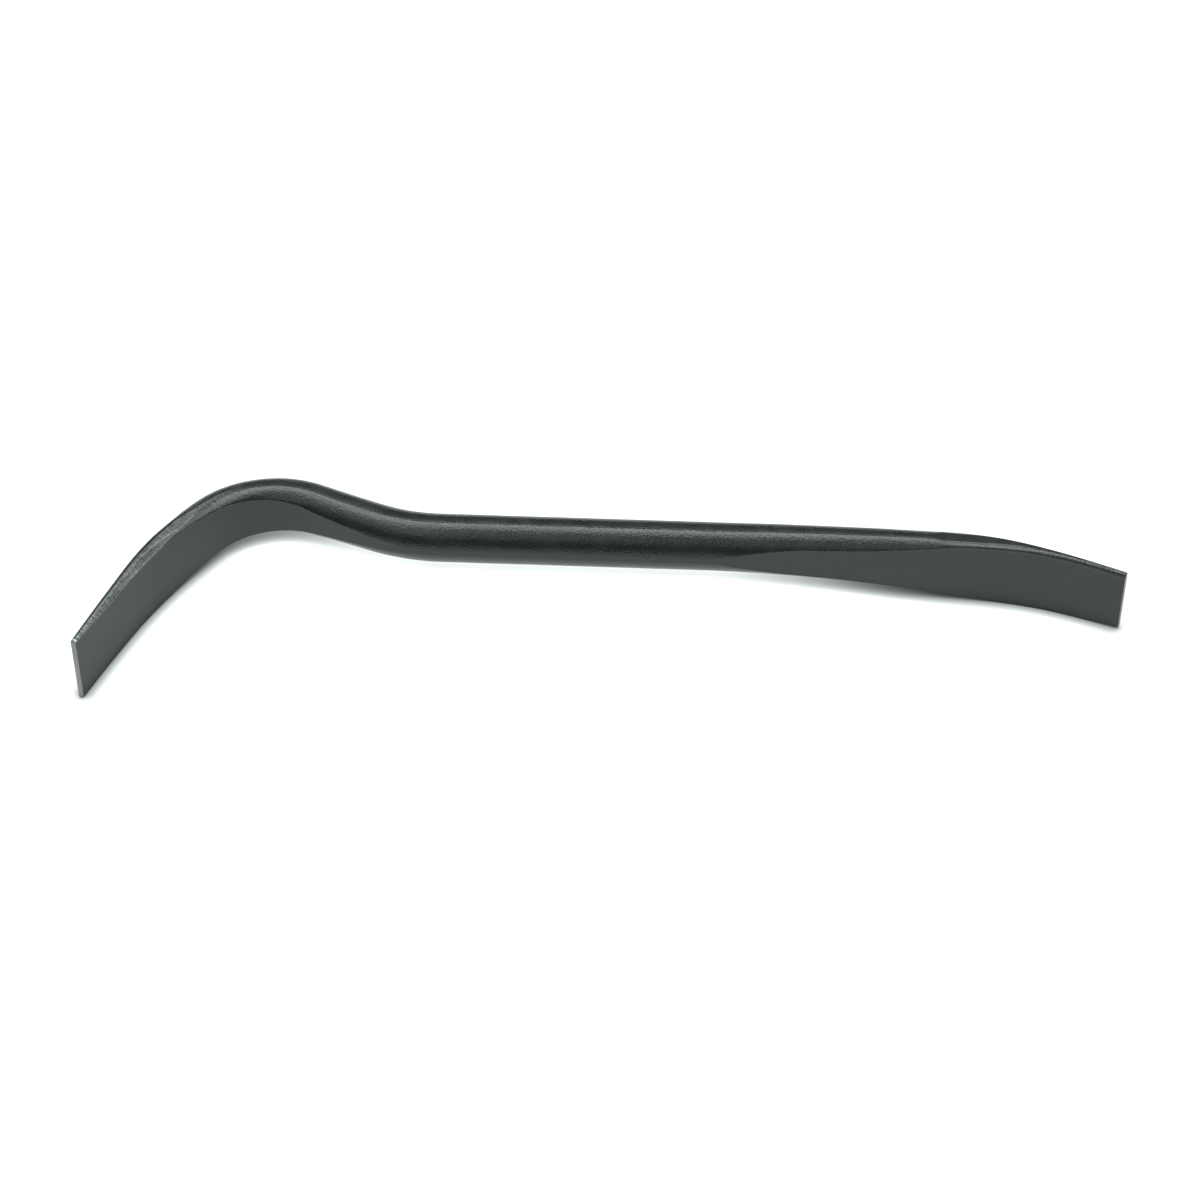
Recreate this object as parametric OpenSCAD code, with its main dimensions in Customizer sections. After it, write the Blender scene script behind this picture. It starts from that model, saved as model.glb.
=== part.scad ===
// Pry bar, forged in one piece from round steel bar.
// It lies on its side: X runs along the shank, the bends lie in the XY plane,
// and Z is the width of the two blades.  The hook is at -X, the straight blade at +X.

/* [Shank] */
// Diameter of the round bar
bar_d = 19; // [17:0.5:21]
// Length of the straight round shank
shank_l = 104; // [60:1:260]

/* [Neck and heel] */
// Length of the bend that sets the neck back from the shank
neck_l = 26; // [20:1:40]
// Angle that the neck is set back by
neck_turn = 21.5; // [10:0.5:30]
// Length of the straight run between the neck bend and the heel
link_l = 26.5; // [10:0.5:50]
// Length of the heel bend, along the middle of the bar
heel_l = 47; // [40:0.5:70]
// Angle that the heel turns through
heel_turn = 76; // [60:1:90]
// Thickness of the bar at the end of the heel
heel_t = 9.8; // [8:0.1:13]

/* [Hook blade] */
// Length of the hook blade, from the heel to its tip
hook_l = 92; // [60:1:110]
// Length of the part of it next to the heel, which curves
curve_l = 51.5; // [30:0.5:55]
// Angle that this part curves in by
curve_turn = 15.5; // [4:0.5:25]
// Angle that the rest of it curves in by, up to its tip
nose_turn = 2; // [0:0.5:6]
// Width of the hook blade
hook_w = 28.6; // [26:0.2:32]
// Thickness of the hook blade's tip
hook_tip_t = 2; // [1.4:0.1:3]

/* [Straight blade] */
// Length of the long taper that leads to the straight blade
taper_l = 96; // [80:1:140]
// Angle that the taper curves by
taper_turn = 7; // [2:0.5:10]
// Length of the kick, the tighter curve near the tip
kick_l = 44; // [30:1:60]
// Angle that the kick turns through
kick_turn = 12.5; // [6:0.5:20]
// Length of the toe, from the kick to the tip
toe_l = 22.4; // [12:0.2:30]
// Angle that the toe curves by
toe_turn = 3; // [1:0.5:8]
// Greatest width of the straight blade
blade_w = 28.6; // [27:0.2:32]
// Width of the straight blade at its tip
blade_tip_w = 27; // [24:0.2:28]
// Thickness of the straight blade's tip
blade_tip_t = 2; // [1.4:0.1:3]

/* [Edges] */
// Rounding of the long edges where a flat side meets a wide face
edge_r = 0.4; // [0.2:0.1:0.5]
// Depth of the easing around each tip
tip_ease = 0.5; // [0.3:0.1:0.8]

/* [Hidden] */
forged_black = [0.28, 0.30, 0.295];

bar_r = bar_d / 2;
// The swept ends start inside the shank and a hair under its size
lead_l = 3;
lead_gap = 0.03;
swept_r = bar_r - lead_gap;
// Facets of a quarter of a section, and the half angle of one facet of a round section
quarter_n = 7;
half_facet = 45 / (quarter_n + 1);
ring_gap = 4.5;
round_fn = 96;

// Each end is a chain of [length, turn] pieces that leaves the shank
hook_path = [
    [lead_l, 0],
    [neck_l, -neck_turn],
    [link_l, 0],
    [heel_l, heel_turn],
    [curve_l, curve_turn],
    [hook_l - curve_l, nose_turn]
];
blade_path = [
    [lead_l, 0],
    [taper_l, -taper_turn],
    [kick_l, -kick_turn],
    [toe_l, -toe_turn]
];
hook_total = lead_l + neck_l + link_l + heel_l + hook_l;
blade_total = lead_l + taper_l + kick_l + toe_l;

// Places where the section is set: the crest is where the heel points along the shank again
neck_mid = lead_l + neck_l + link_l / 2;
crest = lead_l + neck_l + link_l + heel_l * neck_turn / heel_turn;
heel_end = lead_l + neck_l + link_l + heel_l;
hook_mid = heel_end + hook_l / 2;
spread = blade_total - lead_l;
hook_marks = [lead_l, neck_mid, crest, heel_end, hook_mid, hook_total];
blade_marks = [for (part = [0 : 0.2 : 1]) lead_l + part * spread];

// A section is an oval of the bar's own thickness, cut by two wide faces and two narrow sides.
// Crown is the oval's height, thick is across the wide faces, wide is across the narrow sides.
swept_d = 2 * swept_r;
hook_crown = [swept_d, 1.02 * bar_d, 1.16 * bar_d, 1.3 * bar_d, 1.15 * hook_w, 1.43 * hook_w];
hook_thick = [swept_d, 0.9 * bar_d, 0.74 * bar_d, heel_t, 0.51 * heel_t, hook_tip_t];
hook_wide = [0.91 * hook_w, 0.91 * hook_w, 0.91 * hook_w, 0.88 * hook_w, hook_w, hook_w];
blade_crown = [swept_d, 1.08 * bar_d, 1.24 * bar_d, 1.43 * bar_d, 1.04 * blade_w, 1.13 * blade_w];
blade_thick = [swept_d, 0.81 * bar_d, 0.71 * bar_d, 0.47 * bar_d, 0.174 * bar_d, blade_tip_t];
blade_wide = [0.98 * blade_w, 0.98 * blade_w, 0.98 * blade_w, 0.95 * blade_w, blade_w, blade_tip_w];

// One step along an arc (or a straight run) from [x, y, heading]
function arc_step(at, dist, turn) =
    turn == 0
    ? [at.x + dist * cos(at.z), at.y + dist * sin(at.z), at.z]
    : let (r = dist / (turn * PI / 180), to = at.z + turn)
      [at.x + r * (sin(to) - sin(at.z)), at.y - r * (cos(to) - cos(at.z)), to];

// [x, y, heading] at a distance along a path
function walk(path, dist, at, i = 0) =
    let (piece = path[i], run = min(dist, piece[0]), to = arc_step(at, run, piece[1] * run / piece[0]))
    (i == len(path) - 1 || dist <= piece[0]) ? to : walk(path, dist - piece[0], to, i + 1);

// Slope of a smooth curve through the values at mark i
function rise(marks, values, i) = (values[i + 1] - values[i]) / (marks[i + 1] - marks[i]);
function slope(marks, values, i) =
    i == 0
    ? 0
    : i == len(marks) - 1
      ? rise(marks, values, i - 1)
      : let (before = rise(marks, values, i - 1), after = rise(marks, values, i))
        before * after <= 0
        ? 0
        : (before * (marks[i + 1] - marks[i]) + after * (marks[i] - marks[i - 1]))
          / (marks[i + 1] - marks[i - 1]);

// Value at a distance, on a smooth curve through the values at the marks
function at_mark(marks, values, dist, i = 0) =
    i < len(marks) - 2 && dist > marks[i + 1]
    ? at_mark(marks, values, dist, i + 1)
    : let (
          gap = marks[i + 1] - marks[i],
          u = max(0, min(1, (dist - marks[i]) / gap)),
          from_slope = slope(marks, values, i) * gap,
          to_slope = slope(marks, values, i + 1) * gap
      )
      values[i] * (1 + 2 * u) * (1 - u) * (1 - u)
      + from_slope * u * (1 - u) * (1 - u)
      + values[i + 1] * u * u * (3 - 2 * u)
      - to_slope * u * u * (1 - u);

// Point on the curve from p to q that is pulled towards c
function pulled(p, c, q, w, u) =
    let (a = (1 - u) * (1 - u), b = 2 * u * (1 - u) * w, d = u * u)
    (a * p + b * c + d * q) / (a + b + d);

// A quarter of a section, from the wide face up to the narrow side
function quarter(crown, thick, wide) =
    let (
        half_crown = crown / 2,
        half_t = min(thick / 2, swept_r * cos(half_facet)),
        half_w = min(wide / 2, half_crown * cos(half_facet)),
        face_a = acos(half_t / swept_r),
        side_a = asin(half_w / half_crown),
        mid_a = (face_a + side_a) / 2,
        w = cos((side_a - face_a) / 2),
        p = [half_t, min(half_crown * sin(face_a), half_w - edge_r)],
        q = [min(swept_r * cos(side_a), half_t - edge_r), half_w],
        c = [min(swept_r * cos(mid_a) / w, half_t), min(half_crown * sin(mid_a) / w, half_w)]
    )
    [for (i = [0 : quarter_n]) pulled(p, c, q, w, i / quarter_n)];

// A whole section, from its four quarters
function section(crown, thick, wide) =
    let (arc = quarter(crown, thick, wide), last = len(arc) - 1)
    concat(
        arc,
        [for (i = [0 : last]) [-arc[last - i].x, arc[last - i].y]],
        [for (i = [0 : last]) [-arc[i].x, -arc[i].y]],
        [for (i = [0 : last]) [arc[last - i].x, -arc[last - i].y]]
    );

// The points of one ring, where ease takes a little off all round
function ring(path, start, marks, crown, thick, wide, dist, ease = 0) =
    let (
        at = walk(path, dist, start),
        t_now = at_mark(marks, thick, dist) - ease,
        w_now = at_mark(marks, wide, dist) - 2 * ease,
        outline = section(at_mark(marks, crown, dist), t_now, w_now)
    )
    [for (p = outline) [at.x - p.x * sin(at.z), at.y + p.x * cos(at.z), p.y]];

// All rings of one end, from inside the shank to the tip
function rings(path, start, marks, crown, thick, wide, total) =
    let (full_l = total - tip_ease, count = ceil(full_l / ring_gap))
    concat(
        [for (i = [0 : count]) ring(path, start, marks, crown, thick, wide, full_l * i / count)],
        [ring(path, start, marks, crown, thick, wide, total, tip_ease)]
    );

hook_rings = rings(
    hook_path, [lead_l, 0, 180], hook_marks, hook_crown, hook_thick, hook_wide, hook_total
);
blade_rings = rings(
    blade_path, [shank_l - lead_l, 0, 0], blade_marks, blade_crown, blade_thick, blade_wide,
    blade_total
);

// The origin is under the middle of the bar's box
outer = [for (one = concat(hook_rings, blade_rings)) for (p = one) p];
mid_x = (min([for (p = outer) p.x]) + max([for (p = outer) p.x])) / 2;
mid_y = (min([for (p = outer) p.y]) + max([for (p = outer) p.y])) / 2;
low_z = min([for (p = outer) p.z]);

// A closed skin over a list of rings
module skin(list) {
    n = len(list[0]);
    last = len(list) - 1;
    sides = [
        for (i = [0 : last - 1]) for (j = [0 : n - 1])
            let (a = i * n + j, b = i * n + (j + 1) % n)
            each [[a, a + n, b], [b, a + n, b + n]]
    ];
    first_cap = [for (j = [0 : n - 1]) j];
    last_cap = [for (j = [n - 1 : -1 : 0]) last * n + j];
    polyhedron(points = [for (one = list) each one], faces = concat(sides, [first_cap, last_cap]));
}

// Straight round shank, the part that is held
module shank() {
    rotate([0, 90, 0]) cylinder(h = shank_l, r = bar_r, $fn = round_fn);
}

// The whole bar: neck, heel and hook at one end, tapered straight blade at the other
module bar() {
    color(forged_black)
        translate([-mid_x, -mid_y, -low_z])
            union() {
                shank();
                skin(hook_rings);
                skin(blade_rings);
            }
}

bar();
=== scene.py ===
import math

import bmesh
import bpy
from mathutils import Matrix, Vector


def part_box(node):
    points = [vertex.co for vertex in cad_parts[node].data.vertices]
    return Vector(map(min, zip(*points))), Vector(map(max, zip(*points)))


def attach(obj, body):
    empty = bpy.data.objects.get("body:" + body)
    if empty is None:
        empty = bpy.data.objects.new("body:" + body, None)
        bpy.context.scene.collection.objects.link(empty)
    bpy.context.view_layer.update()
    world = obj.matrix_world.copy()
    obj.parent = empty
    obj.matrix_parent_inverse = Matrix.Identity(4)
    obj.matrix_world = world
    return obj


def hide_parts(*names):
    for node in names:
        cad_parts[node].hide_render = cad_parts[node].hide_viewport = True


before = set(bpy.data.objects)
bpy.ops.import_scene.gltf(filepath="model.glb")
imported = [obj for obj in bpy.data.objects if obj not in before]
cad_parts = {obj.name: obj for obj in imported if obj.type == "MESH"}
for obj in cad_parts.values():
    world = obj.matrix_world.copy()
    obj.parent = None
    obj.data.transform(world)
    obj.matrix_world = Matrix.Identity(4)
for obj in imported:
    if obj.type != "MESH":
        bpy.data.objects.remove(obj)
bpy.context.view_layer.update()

barLow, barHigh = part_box("bar")
mm = 0.001
print("frame: bar", [round((barHigh[i] - barLow[i]) / mm, 1) for i in range(3)], "mm")


def plug(tree, value, socket):
    if isinstance(value, bpy.types.NodeSocket):
        tree.links.new(value, socket)
    elif value is not None:
        socket.default_value = value


def calc(tree, operation, first, second=None):
    node = tree.nodes.new("ShaderNodeMath")
    node.operation = operation
    for value, socket in zip((first, second), node.inputs):
        plug(tree, value, socket)
    return node.outputs[0]


def blendOf(tree, share, low, high):  # low where share is 0, high where it is 1
    return calc(tree, "ADD", low, calc(tree, "MULTIPLY", share, calc(tree, "SUBTRACT", high, low)))


def ramp(tree, value, low, high, toLow=0.0, toHigh=1.0):  # eases from toLow to toHigh
    node = tree.nodes.new("ShaderNodeMapRange")
    node.interpolation_type = "SMOOTHSTEP"
    names = ("Value", "From Min", "From Max", "To Min", "To Max")
    for item, name in zip((value, low, high, toLow, toHigh), names):
        plug(tree, item, node.inputs[name])
    return node.outputs["Result"]


barSizes = {  # millimetres and degrees
    "barDiameter": 19,
    "shankLength": 104,
    "neckLength": 26,
    "neckTurn": 21.5,
    "linkLength": 26.5,
    "heelLength": 47,
    "heelTurn": 76,
    "heelThickness": 9.8,
    "hookLength": 92,
    "curveLength": 51.5,
    "curveTurn": 15.5,
    "noseTurn": 2,
    "hookWidth": 28.6,
    "hookTipThickness": 2,
    "taperLength": 96,
    "taperTurn": 7,
    "kickLength": 44,
    "kickTurn": 12.5,
    "toeLength": 22.4,
    "toeTurn": 3,
    "bladeWidth": 28.6,
    "bladeTipWidth": 27,
    "bladeTipThickness": 2,
    "edgeRounding": 0.4,
    "hookBackRounding": 1.4,  # the hook's outer corners are rounder
    "hookBevelFall": 1.75,  # its upper inner corner is bevelled this far down its face
    "hookBevelSlant": 0.8,
    "bladeBevel": 2.3,  # width of the bevel along the straight blade's upper inner corner
    "bladeBevelSlant": 0.27,
    "bladeBevelFall": 1.3,  # how far it and its rounding reach down the face
    "bladeTipFall": 2.0,  # the same at the tip
    "hookRoundingZone": (0.35, 0.65),  # where each sets in, as shares of the hook end's length
    "hookBevelZone": (0.56, 0.74),
    "hookWornZone": (0.68, 0.76),
    "hookSlantZone": (0.88, 1),
    "hookFallZone": (0.86, 1),
    "bladeTipZone": (0.72, 1),
    "bevelTightness": 2.2,  # how closely the rounding below a bevel hugs its corner
    "facetStart": 0.53,  # where the straight blade's flat sides set in, as a share of its length
    "facetStep": 0.6,
    "creaseRounding": 0.3,
    "tipEasing": 0.5,
    "ringGap": 0.9,
}


def walkChain(chain, distance, start):
    x, y, heading = start
    for length, turn in chain:
        run = min(distance, length)
        to = heading + math.radians(turn) * run / length
        if turn:
            radius = length / math.radians(turn)
            x += radius * (math.sin(to) - math.sin(heading))
            y -= radius * (math.cos(to) - math.cos(heading))
        else:
            x += run * math.cos(heading)
            y += run * math.sin(heading)
        heading = to
        distance -= run
        if distance <= 0:
            break
    return x, y, heading


def slopeAt(marks, values, i):
    def rise(k):
        return (values[k + 1] - values[k]) / (marks[k + 1] - marks[k])
    if i == 0:
        return 0
    if i == len(marks) - 1:
        return rise(i - 1)
    before, after = rise(i - 1), rise(i)
    if before * after <= 0:
        return 0
    gapBefore, gapAfter = marks[i] - marks[i - 1], marks[i + 1] - marks[i]
    return (before * gapAfter + after * gapBefore) / (gapBefore + gapAfter)


def valueAt(marks, values, distance):
    i = 0
    while i < len(marks) - 2 and distance > marks[i + 1]:
        i += 1
    gap = marks[i + 1] - marks[i]
    u = max(0, min(1, (distance - marks[i]) / gap))
    return (values[i] * (1 + 2 * u) * (1 - u) ** 2
            + slopeAt(marks, values, i) * gap * u * (1 - u) ** 2
            + values[i + 1] * u * u * (3 - 2 * u)
            - slopeAt(marks, values, i + 1) * gap * u * u * (1 - u))


def barEnds(s):  # each end leaves the shank along its own chain of [length, turn]
    d = s["barDiameter"]
    hookTotal = s["neckLength"] + s["linkLength"] + s["heelLength"] + s["hookLength"]
    heelStart = s["neckLength"] + s["linkLength"]
    heelEnd = heelStart + s["heelLength"]
    hook = {
        "start": (0, 0, math.pi),
        "chain": [(s["neckLength"], -s["neckTurn"]), (s["linkLength"], 0),
                  (s["heelLength"], s["heelTurn"]), (s["curveLength"], s["curveTurn"]),
                  (s["hookLength"] - s["curveLength"], s["noseTurn"])],
        "total": hookTotal,
        "marks": [0, s["neckLength"] + s["linkLength"] / 2,
                  heelStart + s["heelLength"] * s["neckTurn"] / s["heelTurn"],
                  heelEnd, heelEnd + s["hookLength"] / 2, hookTotal],
        "crown": [d, 1.02 * d, 1.16 * d, 1.3 * d, 1.15 * s["hookWidth"], 1.43 * s["hookWidth"]],
        "thick": [d, 0.9 * d, 0.74 * d, s["heelThickness"], 0.51 * s["heelThickness"],
                  s["hookTipThickness"]],
        "wide": [part * s["hookWidth"] for part in (0.91, 0.91, 0.91, 0.88, 1, 1)],
    }
    bladeTotal = s["taperLength"] + s["kickLength"] + s["toeLength"]
    blade = {
        "start": (s["shankLength"], 0, 0),
        "chain": [(s["taperLength"], -s["taperTurn"]), (s["kickLength"], -s["kickTurn"]),
                  (s["toeLength"], -s["toeTurn"])],
        "total": bladeTotal,
        "marks": [part / 5 * bladeTotal for part in range(6)],
        "crown": [d, 1.08 * d, 1.24 * d, 1.43 * d, 1.04 * s["bladeWidth"], 1.13 * s["bladeWidth"]],
        "thick": [d, 0.81 * d, 0.71 * d, 0.47 * d, 0.174 * d, s["bladeTipThickness"]],
        "wide": [0.98 * s["bladeWidth"], 0.98 * s["bladeWidth"], 0.98 * s["bladeWidth"],
                 0.95 * s["bladeWidth"], s["bladeWidth"], s["bladeTipWidth"]],
    }
    return hook, blade


def smooth(value, low, high):
    u = max(0, min(1, (value - low) / (high - low)))
    return u * u * (3 - 2 * u)


def stationsOf(end, sizes):  # (distance from the shank, share of the tip's easing), outwards
    easing = sizes["tipEasing"]
    full = end["total"] - easing
    count = math.ceil(full / sizes["ringGap"])
    rows = [(full * i / count, 0) for i in range(1, count + 1)]
    for angle in (25, 50, 72, 90):
        a = math.radians(angle)
        rows.append((full + easing * math.sin(a), 1 - math.cos(a)))
    return rows


nearlyOne = math.cos(math.radians(45 / 8))  # the least that a face or side is cut back


def spineRows(sizes):
    hook, blade = barEnds(sizes)
    rows = []

    def addRow(end, distance, share, backwards):
        x, y, heading = walkChain(end["chain"], distance, end["start"])
        if backwards:
            heading -= math.pi
        ease = share * sizes["tipEasing"] / 2
        part = distance / end["total"]
        crown = valueAt(end["marks"], end["crown"], distance)
        thick = valueAt(end["marks"], end["thick"], distance) / 2 - ease
        plain = min(sizes["edgeRounding"], 0.6 * thick)
        frontEdge = backEdge = frontFall = plain
        bevel = slant = middle = worn = 0
        wide = min(valueAt(end["marks"], end["wide"], distance), nearlyOne * crown) / 2 - 2 * ease
        if backwards:
            rounder = min(sizes["hookBackRounding"], 0.7 * thick) - plain
            backEdge += rounder * smooth(part, *sizes["hookRoundingZone"])
            bevel = smooth(part, *sizes["hookBevelZone"])
            worn = smooth(part, *sizes["hookWornZone"])
            slant = sizes["hookBevelSlant"] * (1 - 0.6 * smooth(part, *sizes["hookSlantZone"]))
            frontEdge += (1.1 * thick - plain) * bevel
            spared = 1 - smooth(part, *sizes["hookFallZone"])
            frontFall += (sizes["hookBevelFall"] - plain) * bevel * spared
        else:
            start = sizes["facetStart"]
            stepUp, stepDown = smooth(part, start, start + 0.03), smooth(part, start + 0.1, 1)
            crown += sizes["facetStep"] * stepUp * (1 - stepDown)
            bevel = smooth(part, start, start + 0.08)
            slant = sizes["bladeBevelSlant"]
            late = smooth(part, *sizes["bladeTipZone"])
            frontEdge += (min(sizes["bladeBevel"], 1.45 * thick) - plain) * bevel
            frontFall += (sizes["bladeBevelFall"] - plain) * bevel
            frontFall += (sizes["bladeTipFall"] - sizes["bladeBevelFall"]) * late
            middle = 0.5 * thick * late
        rows.append({
            "centre": (x, y, 0),
            "sideways": (-math.sin(heading), math.cos(heading), 0),
            "crown": crown / 2,
            "thick": thick,
            "frontEdge": frontEdge,
            "backEdge": backEdge,
            "frontFall": frontFall,
            "bevel": bevel,
            "slant": slant,
            "worn": worn,
            "middle": middle,
            "wide": wide,
            "tipGap": end["total"] - distance,
            "along": -distance if backwards else sizes["shankLength"] + distance,
        })

    for distance, share in reversed(stationsOf(hook, sizes)):
        addRow(hook, distance, share, True)
    steps = math.ceil(sizes["shankLength"] / sizes["ringGap"] / 2)
    for i in range(steps + 1):
        part = i / steps
        end, backwards = (hook, True) if part < 0.5 else (blade, False)
        addRow(end, 0, 0, backwards)
        rows[-1]["centre"] = (part * sizes["shankLength"], 0, 0)
        rows[-1]["along"] = part * sizes["shankLength"]
        rows[-1]["tipGap"] += sizes["shankLength"] * min(part, 1 - part)
    for distance, share in stationsOf(blade, sizes):
        addRow(blade, distance, share, False)
    return rows


# the row values that aren't lengths
plainValues = ("part", "step", "turnX", "turnY", "bevel", "slant", "worn")


def lineObject(name, rows, closed=False):  # a chain of points that carries its row values, in metres
    mesh = bpy.data.meshes.new(name)
    count = len(rows)
    edges = [(i, (i + 1) % count) for i in range(count if closed else count - 1)]
    mesh.from_pydata([Vector(row["centre"]) * mm for row in rows], edges, [])
    for key, value in rows[0].items():
        isVector = isinstance(value, tuple)
        layer = mesh.attributes.new(key, "FLOAT_VECTOR" if isVector else "FLOAT", "POINT")
        for i, row in enumerate(rows):
            if isVector:
                layer.data[i].vector = Vector(row[key]) * (mm if key == "centre" else 1)
            else:
                layer.data[i].value = row[key] * (1 if key in plainValues else mm)
    piece = bpy.data.objects.new(name, mesh)
    bpy.context.scene.collection.objects.link(piece)
    return piece


def outlineRows():
    # a quarter runs from the middle of a wide face, round the crease, along the oval,
    # round the next crease, to the middle of a narrow side: parts 0 to 4
    shares = [
        (0, 0.2, 0.4, 0.58, 0.73, 0.84, 0.92, 0.97),
        (0, 0.25, 0.5, 0.75),
        (0, 0.06, 0.16, 0.3, 0.43, 0.57, 0.7, 0.84, 0.94),
        (0, 0.25, 0.5, 0.75),
        (0, 0.05, 0.14, 0.3, 0.5, 0.75, 1),
    ]
    quarter = [(part, step) for part, steps in enumerate(shares) for step in steps]
    quarters = [quarter, quarter[::-1], quarter, quarter[::-1]]
    signs = [(1, 1), (-1, 1), (-1, -1), (1, -1)]
    rows = []
    for (turnX, turnY), points in zip(signs, quarters):
        for part, step in points:
            onAxis = (part, step) in (quarter[0], quarter[-1])
            if onAxis and points[-1] == (part, step):  # the next quarter starts on this point
                continue
            angle = 2 * math.pi * len(rows) / 128
            rows.append({"centre": (math.cos(angle), math.sin(angle), 0), "part": part, "step": step,
                         "turnX": turnX, "turnY": turnY})
    return rows


forgedLook = {
    "unevenness": 0.07,  # how far the hammered surface dips, in millimetres
    "unevenSize": 16,  # length of one dip, in millimetres
    "seed": 4.0,
}


def namedValue(tree, name, kind="FLOAT"):
    node = tree.nodes.new("GeometryNodeInputNamedAttribute")
    node.data_type = kind
    node.inputs["Name"].default_value = name
    return node.outputs["Attribute"]


def storeValue(tree, geometry, name, value, kind="FLOAT"):
    node = tree.nodes.new("GeometryNodeStoreNamedAttribute")
    node.data_type = kind
    node.domain = "POINT"
    node.inputs["Name"].default_value = name
    tree.links.new(geometry, node.inputs["Geometry"])
    plug(tree, value, node.inputs["Value"])
    return node.outputs["Geometry"]


def forgedTree(material):
    tree = bpy.data.node_groups.new("forgedBar", "GeometryNodeTree")
    tree.interface.new_socket("Geometry", in_out="INPUT", socket_type="NodeSocketGeometry")
    tree.interface.new_socket("Section outline", in_out="INPUT", socket_type="NodeSocketObject")
    for name in ("Bar radius", "Edge rounding", "Crease rounding", "Bevel tightness", "Unevenness",
                 "Uneven size", "Seed"):
        tree.interface.new_socket(name, in_out="INPUT", socket_type="NodeSocketFloat")
    tree.interface.new_socket("Geometry", in_out="OUTPUT", socket_type="NodeSocketGeometry")
    given = tree.nodes.new("NodeGroupInput").outputs
    new, link = tree.nodes.new, tree.links.new

    def m(*parts):
        return calc(tree, *parts)

    # both lines become curves and the outline is swept along the centre line
    spine = new("GeometryNodeMeshToCurve")
    link(given["Geometry"], spine.inputs["Mesh"])
    outlineInfo = new("GeometryNodeObjectInfo")
    link(given["Section outline"], outlineInfo.inputs["Object"])
    outline = new("GeometryNodeMeshToCurve")
    link(outlineInfo.outputs["Geometry"], outline.inputs["Mesh"])
    sweep = new("GeometryNodeCurveToMesh")
    link(spine.outputs["Curve"], sweep.inputs["Curve"])
    link(outline.outputs["Curve"], sweep.inputs["Profile Curve"])
    sweep.inputs["Fill Caps"].default_value = True

    # the section rule: an oval of the bar's own thickness, cut by two wide faces and two narrow sides
    radius, crease = given["Bar radius"], given["Crease rounding"]
    isBack = m("GREATER_THAN", namedValue(tree, "turnX"), 0.0)
    isTop = m("GREATER_THAN", namedValue(tree, "turnY"), 0.0)
    isInner = m("MULTIPLY", m("SUBTRACT", 1.0, isBack), isTop)  # the corner that may have a bevel
    backEdge = namedValue(tree, "backEdge")
    plainEdge = blendOf(tree, isBack, m("MINIMUM", backEdge, given["Edge rounding"]), backEdge)
    edge = blendOf(tree, isInner, plainEdge, namedValue(tree, "frontEdge"))
    fall = blendOf(tree, isInner, plainEdge, namedValue(tree, "frontFall"))
    crown = namedValue(tree, "crown")
    thick = m("MINIMUM", namedValue(tree, "thick"), m("MULTIPLY", radius, nearlyOne))
    wide = m("MINIMUM", namedValue(tree, "wide"), m("MULTIPLY", crown, nearlyOne))
    faceTurn = m("ARCCOSINE", m("DIVIDE", thick, radius))
    sideTurn = m("ARCSINE", m("DIVIDE", wide, crown))
    midTurn = m("MULTIPLY", m("ADD", faceTurn, sideTurn), 0.5)
    ovalPull = m("COSINE", m("MULTIPLY", m("SUBTRACT", sideTurn, faceTurn), 0.5))
    faceY = m("MINIMUM", m("MULTIPLY", crown, m("SINE", faceTurn)), m("SUBTRACT", wide, fall))
    sideX = m("MINIMUM", m("MULTIPLY", radius, m("COSINE", sideTurn)), m("SUBTRACT", thick, edge))
    ovalX = m("MINIMUM", m("DIVIDE", m("MULTIPLY", radius, m("COSINE", midTurn)), ovalPull), thick)
    ovalY = m("MINIMUM", m("DIVIDE", m("MULTIPLY", crown, m("SINE", midTurn)), ovalPull), wide)
    # on a bevelled corner the curve leaves the narrow side at a slant and then hugs the face
    bevel = m("MULTIPLY", namedValue(tree, "bevel"), isInner)
    bevelDrop = m("MULTIPLY", m("SUBTRACT", thick, sideX), namedValue(tree, "slant"))
    pull = blendOf(tree, bevel, ovalPull, given["Bevel tightness"])
    cornerX = blendOf(tree, bevel, ovalX, thick)
    cornerY = blendOf(tree, bevel, ovalY, m("SUBTRACT", wide, bevelDrop))
    meet = m("MULTIPLY", m("MULTIPLY", namedValue(tree, "middle"), isTop), namedValue(tree, "turnX"))

    def curvePoint(u):  # a point on the oval between the two creases
        left = m("SUBTRACT", 1.0, u)
        a = m("MULTIPLY", left, left)
        b = m("MULTIPLY", m("MULTIPLY", m("MULTIPLY", u, left), 2.0), pull)
        d = m("MULTIPLY", u, u)
        total = m("ADD", m("ADD", a, b), d)

        def mixed(p, c, q):
            top = m("ADD", m("ADD", m("MULTIPLY", a, p), m("MULTIPLY", b, c)), m("MULTIPLY", d, q))
            return m("DIVIDE", top, total)
        return mixed(thick, cornerX, sideX), mixed(faceY, cornerY, wide)

    def share(dx, dy):  # how far along the curve a crease's rounding reaches
        length = m("SQRT", m("ADD", m("MULTIPLY", dx, dx), m("MULTIPLY", dy, dy)))
        reach = m("DIVIDE", crease, m("MAXIMUM", m("MULTIPLY", m("MULTIPLY", length, pull), 2.0), 0.00001))
        return m("MINIMUM", reach, 0.35)

    faceShare = share(m("SUBTRACT", thick, cornerX), m("SUBTRACT", cornerY, faceY))
    sideShare = share(m("SUBTRACT", cornerX, sideX), m("SUBTRACT", wide, cornerY))
    faceBack = m("MINIMUM", crease, m("MULTIPLY", faceY, 0.6))
    sideBack = m("MINIMUM", crease, m("MULTIPLY", m("SUBTRACT", sideX, meet), 0.6))

    step, part = namedValue(tree, "step"), namedValue(tree, "part")
    flatEndY = m("SUBTRACT", faceY, faceBack)
    sideEndX = m("SUBTRACT", sideX, sideBack)

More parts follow.
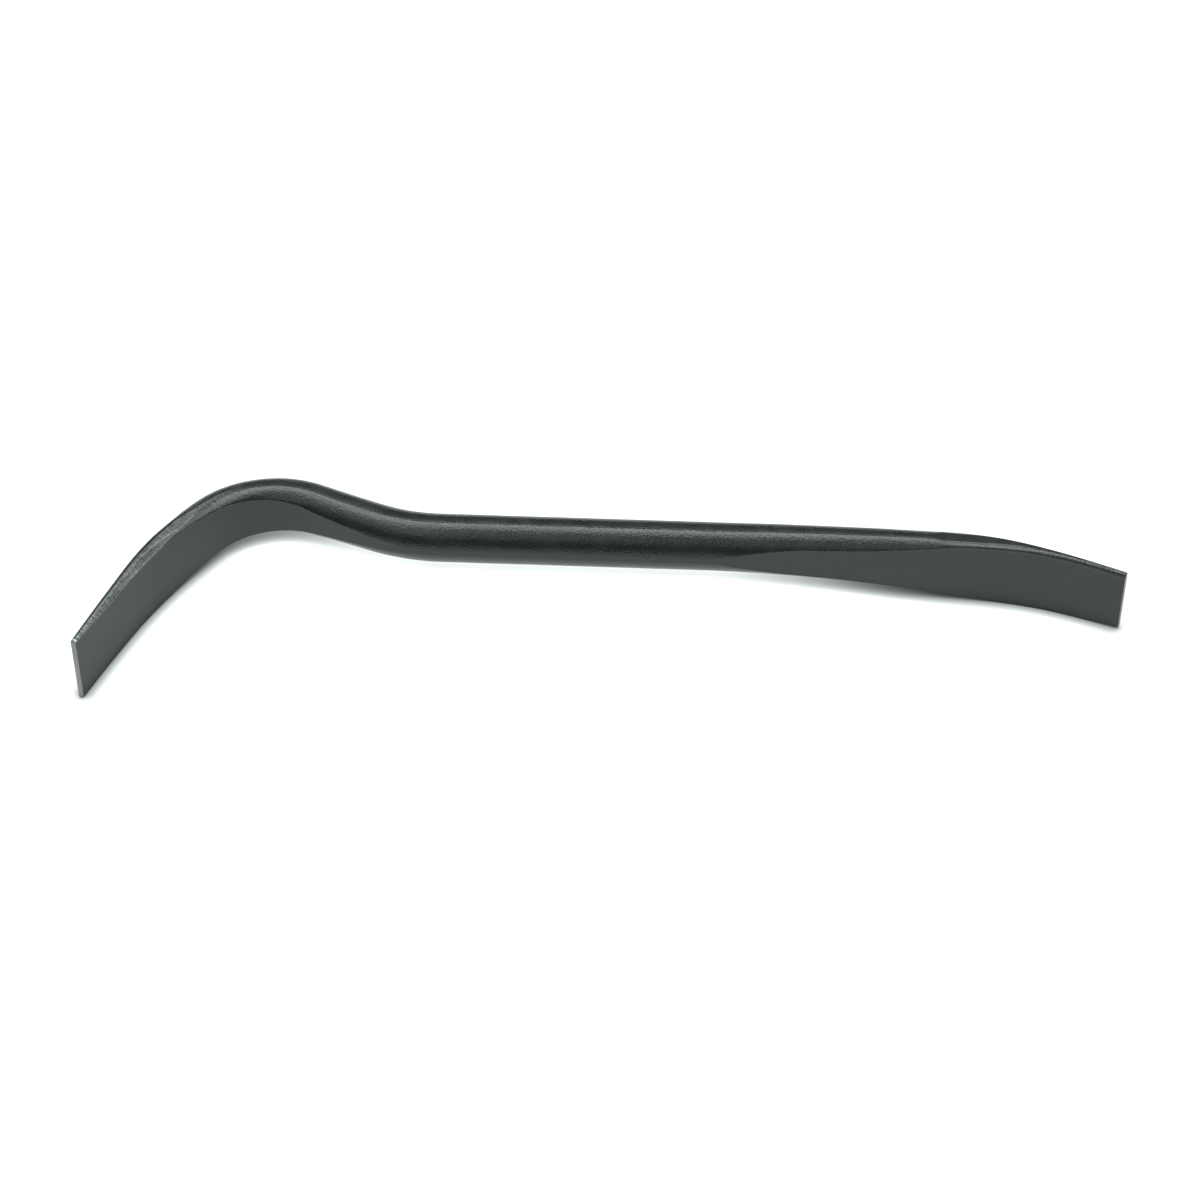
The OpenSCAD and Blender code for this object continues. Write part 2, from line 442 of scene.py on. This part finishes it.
    def rounded(a, b, c):  # a bend that leaves a towards b and ends in c
        left = m("SUBTRACT", 1.0, step)
        first = m("MULTIPLY", m("MULTIPLY", left, left), a)
        second = m("MULTIPLY", m("MULTIPLY", m("MULTIPLY", left, step), 2.0), b)
        return m("ADD", m("ADD", first, second), m("MULTIPLY", m("MULTIPLY", step, step), c))

    startX, startY = curvePoint(faceShare)
    endX, endY = curvePoint(m("SUBTRACT", 1.0, sideShare))
    curveX, curveY = curvePoint(blendOf(tree, step, faceShare, m("SUBTRACT", 1.0, sideShare)))
    xs = [thick, rounded(thick, thick, startX), curveX, rounded(endX, sideX, sideEndX),
          blendOf(tree, step, sideEndX, meet)]
    ys = [m("MULTIPLY", step, flatEndY), rounded(flatEndY, faceY, startY), curveY,
          rounded(endY, wide, wide), wide]

    def chosen(values):
        result = values[0]
        for i in range(1, len(values)):
            isPast = m("GREATER_THAN", part, i - 0.5)
            result = blendOf(tree, isPast, result, values[i])
        return result

    acrossX = m("MULTIPLY", chosen(xs), namedValue(tree, "turnX"))
    acrossY = m("MULTIPLY", chosen(ys), namedValue(tree, "turnY"))

    side = new("ShaderNodeVectorMath")
    side.operation = "SCALE"
    link(namedValue(tree, "sideways", "FLOAT_VECTOR"), side.inputs[0])
    link(acrossX, side.inputs["Scale"])
    up = new("ShaderNodeCombineXYZ")
    link(acrossY, up.inputs["Z"])
    base = new("ShaderNodeVectorMath")
    link(namedValue(tree, "centre", "FLOAT_VECTOR"), base.inputs[0])
    link(side.outputs[0], base.inputs[1])
    place = new("ShaderNodeVectorMath")
    link(base.outputs[0], place.inputs[0])
    link(up.outputs[0], place.inputs[1])

    # values that the finish follows: place along the bar and across it, and the kind of surface
    lay = new("ShaderNodeCombineXYZ")
    link(namedValue(tree, "along"), lay.inputs["X"])
    link(acrossX, lay.inputs["Y"])
    link(acrossY, lay.inputs["Z"])

    geometry = storeValue(tree, sweep.outputs["Mesh"], "lay", lay.outputs[0], "FLOAT_VECTOR")
    isPast = [m("GREATER_THAN", part, i - 0.5) for i in (1, 3)]
    geometry = storeValue(tree, geometry, "flatPart", m("SUBTRACT", 1.0, isPast[0]))
    geometry = storeValue(tree, geometry, "roundPart", m("SUBTRACT", isPast[0], isPast[1]))
    inset = ramp(tree, m("DIVIDE", m("ABSOLUTE", acrossX), m("MAXIMUM", sideX, 0.0001)), 0.85, 0.55)
    isSide = m("MULTIPLY", isPast[1], blendOf(tree, isBack, 1.0, inset))
    worn = m("MULTIPLY", m("MULTIPLY", namedValue(tree, "worn"), isInner), isPast[0])
    geometry = storeValue(tree, geometry, "narrowPart", m("MAXIMUM", isSide, worn))
    moved = new("GeometryNodeSetPosition")
    link(geometry, moved.inputs["Geometry"])
    link(place.outputs[0], moved.inputs["Position"])

    # the forging is not quite even: shallow dips, which fade out at the tips
    noise = new("ShaderNodeTexNoise")
    noise.noise_dimensions = "4D"
    link(m("DIVIDE", 1.0, given["Uneven size"]), noise.inputs["Scale"])
    link(given["Seed"], noise.inputs["W"])
    noise.inputs["Detail"].default_value = 2.0
    depth = m("MULTIPLY", ramp(tree, noise.outputs[0], 0.3, 0.75), given["Unevenness"])
    fade = ramp(tree, namedValue(tree, "tipGap"), 0.001, 0.02)
    dip = new("ShaderNodeVectorMath")
    dip.operation = "SCALE"
    link(new("GeometryNodeInputNormal").outputs[0], dip.inputs[0])
    link(m("MULTIPLY", m("MULTIPLY", depth, fade), -1.0), dip.inputs["Scale"])
    dipped = new("GeometryNodeSetPosition")
    link(moved.outputs["Geometry"], dipped.inputs["Geometry"])
    link(dip.outputs[0], dipped.inputs["Offset"])

    realize = new("GeometryNodeRealizeInstances")
    link(dipped.outputs["Geometry"], realize.inputs["Geometry"])
    finish = new("GeometryNodeSetMaterial")
    link(realize.outputs["Geometry"], finish.inputs["Geometry"])
    finish.inputs["Material"].default_value = material
    link(finish.outputs["Geometry"], new("NodeGroupOutput").inputs["Geometry"])
    return tree


def forgedBar(sizes, look, material):
    rows = spineRows(sizes)
    spine = lineObject("centreLine", rows)
    outline = lineObject("sectionOutline", outlineRows(), closed=True)
    tree = forgedTree(material)
    modifier = spine.modifiers.new("forgedBar", "NODES")
    modifier.node_group = tree
    values = {
        "Section outline": outline,
        "Bar radius": sizes["barDiameter"] / 2 * mm,
        "Edge rounding": sizes["edgeRounding"] * mm,
        "Crease rounding": sizes["creaseRounding"] * mm,
        "Bevel tightness": sizes["bevelTightness"],
        "Unevenness": look["unevenness"] * mm,
        "Uneven size": look["unevenSize"] * mm,
        "Seed": look["seed"],
    }
    for item in tree.interface.items_tree:
        if item.in_out == "INPUT" and item.name in values:
            modifier[item.identifier] = values[item.name]
    bpy.context.view_layer.update()
    graph = bpy.context.evaluated_depsgraph_get()
    mesh = bpy.data.meshes.new_from_object(spine.evaluated_get(graph), preserve_all_data_layers=True,
                                           depsgraph=graph)
    mesh.name = "forgedBar"
    spine.modifiers.remove(modifier)
    for helper in (spine, outline):
        bpy.data.objects.remove(helper)

    shape = bmesh.new()
    shape.from_mesh(mesh)
    if shape.calc_volume(signed=True) < 0:
        bmesh.ops.reverse_faces(shape, faces=shape.faces)
    volume = shape.calc_volume(signed=True) / mm ** 3
    print("bar: volume", round(volume), "cubic mm,", len(shape.faces), "faces")
    shape.to_mesh(mesh)
    shape.free()
    for name in ("crown", "thick", "wide", "frontEdge", "backEdge", "frontFall", "bevel", "slant", "worn",
                 "middle", "part", "step", "turnX", "turnY", "centre", "sideways", "along"):
        if name in mesh.attributes:
            mesh.attributes.remove(mesh.attributes[name])
    mesh.shade_smooth()
    mesh.set_sharp_from_angle(angle=math.radians(50))

    # the middle of the CAD bar's box is where this one's goes
    points = [v.co for v in mesh.vertices]
    low = Vector([min(p[i] for p in points) for i in range(3)])
    high = Vector([max(p[i] for p in points) for i in range(3)])
    shift = (Vector(barLow) + Vector(barHigh) - low - high) / 2
    for vertex in mesh.vertices:
        vertex.co += shift
    bar = bpy.data.objects.new("forgedBar", mesh)
    bpy.context.scene.collection.objects.link(bar)
    print("bar: own box", [round(c / mm, 2) for c in high - low], "mm")
    return bar


coatLook = {
    "colour": (0.0152, 0.0186, 0.0180, 1),
    "paler": (0.0218, 0.0262, 0.0253, 1),
    "roughness": 0.29,
    "flatRoughness": 0.55,  # the wide faces are duller
    "flatPaintedReflection": 0.8,  # and paler, a painted reflection of the floor that their dullness takes away
    "grain": 0.85,  # size of the coat's orange peel on the round parts, in millimetres
    "grainDepth": 0.19,
    "flatGrain": 0.2,  # how much of it the flat faces have
}
groundLook = {  # lengths in millimetres
    "colour": (0.2, 0.21, 0.208, 1),
    "endColour": (0.26, 0.27, 0.268, 1),
    "chipGlintColour": (0.5, 0.51, 0.51, 1),
    "roughness": 0.45,
    "metal": 0.55,  # how metallic the bare steel looks
    "lineGap": 0.5,  # spacing of the grinding lines, in millimetres
    "lineLength": 3.0,
    "lineDepth": 0.02,
    "fadeFrom": 104,  # the lines thin out on the heel between these distances from the shank
    "fadeTo": 76,
    "endDepth": 0.45,  # how far the ground ends reach back from each tip
    "chipPlace": (-190.3, -0.2, 14.0),  # along the bar from the shank, across it and up from its middle
    "chipSize": (0.45, 1.1, 0.9),  # how far it reaches each way
}


def forgedMaterial(coat, ground):
    material = bpy.data.materials.new("forgedSteel")
    material.use_nodes = True
    tree = material.node_tree
    tree.nodes.clear()
    new, link = tree.nodes.new, tree.links.new
    shader = new("ShaderNodeBsdfPrincipled")
    link(shader.outputs[0], new("ShaderNodeOutputMaterial").inputs["Surface"])
    coords = new("ShaderNodeTexCoord").outputs["Object"]

    def m(*parts):
        return calc(tree, *parts)

    def attribute(name, output="Fac"):
        node = new("ShaderNodeAttribute")
        node.attribute_name = name
        return node.outputs[output]

    def noiseOf(scale, detail, vector=coords, roughness=0.5):
        node = new("ShaderNodeTexNoise")
        link(vector, node.inputs["Vector"])
        node.inputs["Scale"].default_value = scale
        node.inputs["Detail"].default_value = detail
        node.inputs["Roughness"].default_value = roughness
        return node.outputs[0]

    def mixed(share, low, high):
        node = new("ShaderNodeMix")
        node.data_type = "RGBA"
        plug(tree, share, node.inputs["Factor"])
        plug(tree, low, node.inputs[6])
        plug(tree, high, node.inputs[7])
        return node.outputs[2]

    # where the surface is ground: the hook's narrow sides, the end faces and one chipped corner, whose
    # pale colour is partly painted highlight
    lay = attribute("lay", "Vector")
    split = new("ShaderNodeSeparateXYZ")
    link(lay, split.inputs[0])
    along = split.outputs["X"]
    stretched = new("ShaderNodeVectorMath")
    stretched.operation = "MULTIPLY"
    link(lay, stretched.inputs[0])
    stretched.inputs[1].default_value = (1 / (ground["lineGap"] * mm), 1 / (ground["lineLength"] * mm),
                                         1 / (ground["lineLength"] * mm))
    lines = noiseOf(1, 3, stretched.outputs[0], 0.6)
    onHook = ramp(tree, along, -ground["fadeTo"] * mm, -ground["fadeFrom"] * mm)
    side = m("MULTIPLY", attribute("narrowPart"), onHook)
    sideWear = m("MULTIPLY", side, ramp(tree, lines, 0.38, 0.6, 0.3, 1.0))
    ends = ramp(tree, attribute("tipGap"), ground["endDepth"] * mm, 0.5 * ground["endDepth"] * mm)
    # the chipped corner: partly real wear of bare steel, partly a painted glint in its pale colour
    chipGap = new("ShaderNodeVectorMath")
    chipGap.operation = "SUBTRACT"
    link(lay, chipGap.inputs[0])
    chipGap.inputs[1].default_value = Vector(ground["chipPlace"]) * mm
    chipReach = new("ShaderNodeVectorMath")
    chipReach.operation = "DIVIDE"
    link(chipGap.outputs[0], chipReach.inputs[0])
    chipReach.inputs[1].default_value = Vector(ground["chipSize"]) * mm
    chipShare = new("ShaderNodeVectorMath")
    chipShare.operation = "LENGTH"
    link(chipReach.outputs[0], chipShare.inputs[0])
    ragged = m("MULTIPLY", noiseOf(1400, 2), 0.6)
    chipAndGlint = ramp(tree, m("ADD", chipShare.outputs["Value"], ragged), 1.3, 1.0)
    bare = m("MAXIMUM", m("MAXIMUM", sideWear, ends), chipAndGlint)
    bareColour = mixed(ends, ground["colour"], ground["endColour"])
    bareColour = mixed(chipAndGlint, bareColour, ground["chipGlintColour"])

    mottle = noiseOf(140, 4)
    coatColour = mixed(ramp(tree, mottle, 0.3, 0.75), coat["colour"], coat["paler"])
    # painted reflection: the wide faces' colour is made paler to stand in for the floor they mirror less
    coatWithPaintedReflection = new("ShaderNodeVectorMath")
    coatWithPaintedReflection.operation = "SCALE"
    link(coatColour, coatWithPaintedReflection.inputs[0])
    link(m("ADD", 1.0, m("MULTIPLY", attribute("flatPart"), coat["flatPaintedReflection"])), coatWithPaintedReflection.inputs["Scale"])
    link(mixed(bare, coatWithPaintedReflection.outputs[0], bareColour), shader.inputs["Base Color"])
    link(m("MULTIPLY", bare, ground["metal"]), shader.inputs["Metallic"])
    coatRoughness = blendOf(tree, attribute("flatPart"), coat["roughness"], coat["flatRoughness"])
    coatRoughness = m("ADD", coatRoughness, ramp(tree, mottle, 0.3, 0.7, -0.03, 0.04))
    link(blendOf(tree, bare, coatRoughness, ground["roughness"]), shader.inputs["Roughness"])

    # relief: the coat's grain, and the grinding lines across the narrow sides
    peel = m("MULTIPLY", noiseOf(1 / (coat["grain"] * mm), 2),
             blendOf(tree, attribute("roundPart"), coat["flatGrain"], 1.0))
    height = m("ADD", m("MULTIPLY", peel, coat["grainDepth"]),
               m("MULTIPLY", m("MULTIPLY", lines, side), ground["lineDepth"]))
    bump = new("ShaderNodeBump")
    bump.inputs["Strength"].default_value = 1.0
    bump.inputs["Distance"].default_value = mm
    link(height, bump.inputs["Height"])
    link(bump.outputs[0], shader.inputs["Normal"])
    return material


finish = forgedMaterial(coatLook, groundLook)
bar = forgedBar(barSizes, forgedLook, finish)
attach(bar, "root")
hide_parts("bar")
print("finish: done")


studio = {  # metres and degrees, unless a note says millimetres
    "floorSize": 12.0,
    "floorGap": 0.05,  # millimetres between the floor and the bar's underside
    "floorRoughness": 0.9,
    "floorGloss": 0.1,
    "floorShade": 0.9,
    "floorGlow": 0.2,  # the floor is a light table with a faint glow of its own
    "glowFrom": 0.8,
    "glowTo": 2.2,
    "paintedShadowReach": 5.3,  # how far the shadow painted into the floor round the bar's foot reaches, in millimetres
    "paintedShadowPower": 1.95,  # and how steeply it darkens
    "paintedShadowLift": 1.05,  # clears the last of it from the open floor
    "worldShade": 0.05,
    "lightColour": (0.93, 1.0, 0.985),
    "topRadiance": 4.5,
    "topSize": (1.7, 0.76),
    "topTurn": 17.5,  # degrees behind the zenith
    "topDistance": 1.25,
    "frontRadiance": 1.3,
    "frontSize": (1.5, 0.8),
    "frontTurn": -22,
    "frontDistance": 1.4,
    "topShift": 0,
    "stripRadiance": 5.0,  # a narrow strip that sets the sparkle in the highlight
    "stripSize": (1.7, 0.14),
    "stripTurn": 26,
    "stripDistance": 1.3,
    "stripShift": 0,
    "frontShift": -0.55,  # towards the hook
}


def makeFloor(s):
    half = s["floorSize"] / 2
    mesh = bpy.data.meshes.new("floor")
    z = barLow[2] - s["floorGap"] * mm
    corners = [(-half, -half, z), (half, -half, z), (half, half, z), (-half, half, z)]
    mesh.from_pydata(corners, [], [(0, 1, 2, 3)])
    floor = bpy.data.objects.new("floor", mesh)
    bpy.context.scene.collection.objects.link(floor)
    material = bpy.data.materials.new("floorCard")
    material.use_nodes = True
    shader = material.node_tree.nodes["Principled BSDF"]
    tree = material.node_tree
    # painted shadow: ambient occlusion round the bar's foot darkens the floor's colour and glow
    near = tree.nodes.new("ShaderNodeAmbientOcclusion")
    near.inputs["Distance"].default_value = s["paintedShadowReach"] * mm
    near.samples = 16
    shade = calc(tree, "POWER", near.outputs["AO"], s["paintedShadowPower"])
    shade = calc(tree, "MINIMUM", calc(tree, "MULTIPLY", shade, s["paintedShadowLift"]), 1.0)
    paintedShadowColour = tree.nodes.new("ShaderNodeCombineColor")
    for socket in paintedShadowColour.inputs[:3]:
        plug(tree, calc(tree, "MULTIPLY", shade, s["floorShade"]), socket)
    plug(tree, paintedShadowColour.outputs[0], shader.inputs["Base Color"])
    plug(tree, paintedShadowColour.outputs[0], shader.inputs["Emission Color"])
    shader.inputs["Roughness"].default_value = s["floorRoughness"]
    shader.inputs["Specular IOR Level"].default_value = s["floorGloss"]
    # further out, where the lights don't reach, the floor glows more and stays pale
    away = tree.nodes.new("ShaderNodeVectorMath")
    away.operation = "LENGTH"
    plug(tree, tree.nodes.new("ShaderNodeTexCoord").outputs["Object"], away.inputs[0])
    glow = ramp(tree, away.outputs["Value"], s["glowFrom"], s["glowTo"], s["floorGlow"], 1.0)
    plug(tree, glow, shader.inputs["Emission Strength"])
    mesh.materials.append(material)
    return floor


def makeLight(name, radiance, size, place, blockers):  # a soft box that faces the middle of the floor
    light = bpy.data.lights.new(name, "AREA")
    light.shape = "RECTANGLE"
    light.size, light.size_y = size
    light.color = studio["lightColour"]
    light.energy = radiance * math.pi * size[0] * size[1]
    lamp = bpy.data.objects.new(name, light)
    lamp.location = place
    lamp.rotation_euler = Vector(place).to_track_quat("Z", "Y").to_euler()
    bpy.context.scene.collection.objects.link(lamp)
    lamp.light_linking.blocker_collection = blockers


def overhead(distance, turn, shift):  # a place over the bar, turned back from the zenith
    angle = math.radians(turn)
    return shift, distance * math.sin(angle), distance * math.cos(angle)


cameraSetup = {
    "pitch": 42,  # degrees down from level
    "turn": 2.77,
    "distance": 1.19378,
    "aim": (-3.87, 11.37, 0),  # from the middle of the bar's underside, in millimetres
    "lens": 92.08,
    "sensor": 36,
}


def makeCamera(s):
    data = bpy.data.cameras.new("camera")
    data.lens = s["lens"]
    data.sensor_width = s["sensor"]
    camera = bpy.data.objects.new("camera", data)
    pitch, turn = math.radians(s["pitch"]), math.radians(s["turn"])
    middle = Vector(((barLow[0] + barHigh[0]) / 2, (barLow[1] + barHigh[1]) / 2, barLow[2]))
    back = Vector((math.sin(turn) * math.cos(pitch), -math.cos(turn) * math.cos(pitch), math.sin(pitch)))
    camera.location = middle + Vector(s["aim"]) * mm + back * s["distance"]
    camera.rotation_euler = (math.pi / 2 - pitch, 0, turn)
    bpy.context.scene.collection.objects.link(camera)
    bpy.context.scene.camera = camera


# the bar blocks none of the soft boxes, only the floor does; the shade at the bar's foot is painted shadow
# in the floor's colour and glow
blockers = bpy.data.collections.new("blockers")
blockers.objects.link(makeFloor(studio))
for name in ("top", "strip", "front"):
    place = overhead(studio[name + "Distance"], studio[name + "Turn"], studio[name + "Shift"])
    makeLight(name + "Light", studio[name + "Radiance"], studio[name + "Size"], place, blockers)
makeCamera(cameraSetup)
world = bpy.data.worlds.new("studio")
world.use_nodes = True
world.node_tree.nodes["Background"].inputs["Color"].default_value = (studio["worldShade"],) * 3 + (1,)
bpy.context.scene.world = world
bpy.context.scene.view_settings.view_transform = "Standard"
print("studio: done")
